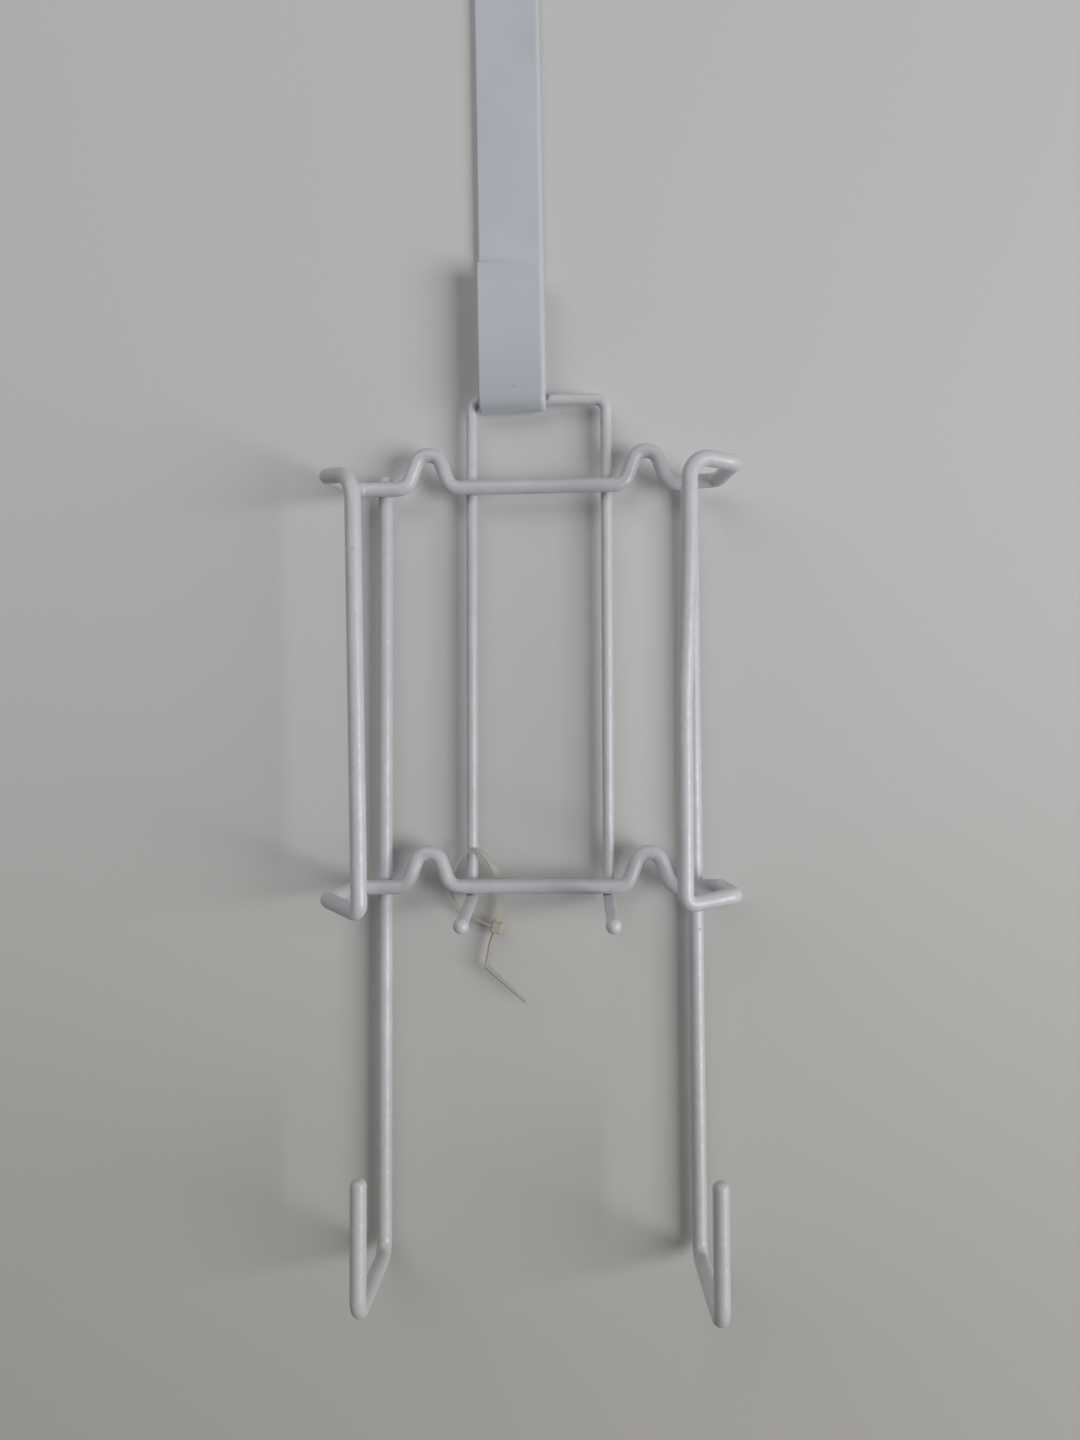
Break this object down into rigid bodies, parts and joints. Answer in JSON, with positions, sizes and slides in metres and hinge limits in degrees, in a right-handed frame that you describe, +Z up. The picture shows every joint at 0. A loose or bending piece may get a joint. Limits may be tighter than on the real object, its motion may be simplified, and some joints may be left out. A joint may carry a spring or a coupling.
{
  "type": "iron holder",
  "caption": "Over-door holder of white coated wire: a flat strap carries a hanger frame with a cage for a clothes iron and J-hooks for an ironing board.",
  "frame": {"origin": "middle of the strap's seat, on the top edge of the door", "axes": "+X to the right as seen from the front, +Y from the front of the door to its back, +Z up"},
  "size_m": [0.148, 0.0984, 0.6259],
  "materials": {
    "strap_paint": "satin",
    "wire_coat": "semi-gloss",
    "nylon": "translucent satin"
  },
  "bodies": {
    "root": {"door_strap": "strap_paint", "hanger_frame": "wire_coat", "iron_cage": "wire_coat", "board_hook_left": "wire_coat", "board_hook_right": "wire_coat", "cable_tie": "nylon"}
  },
  "joints": []
}
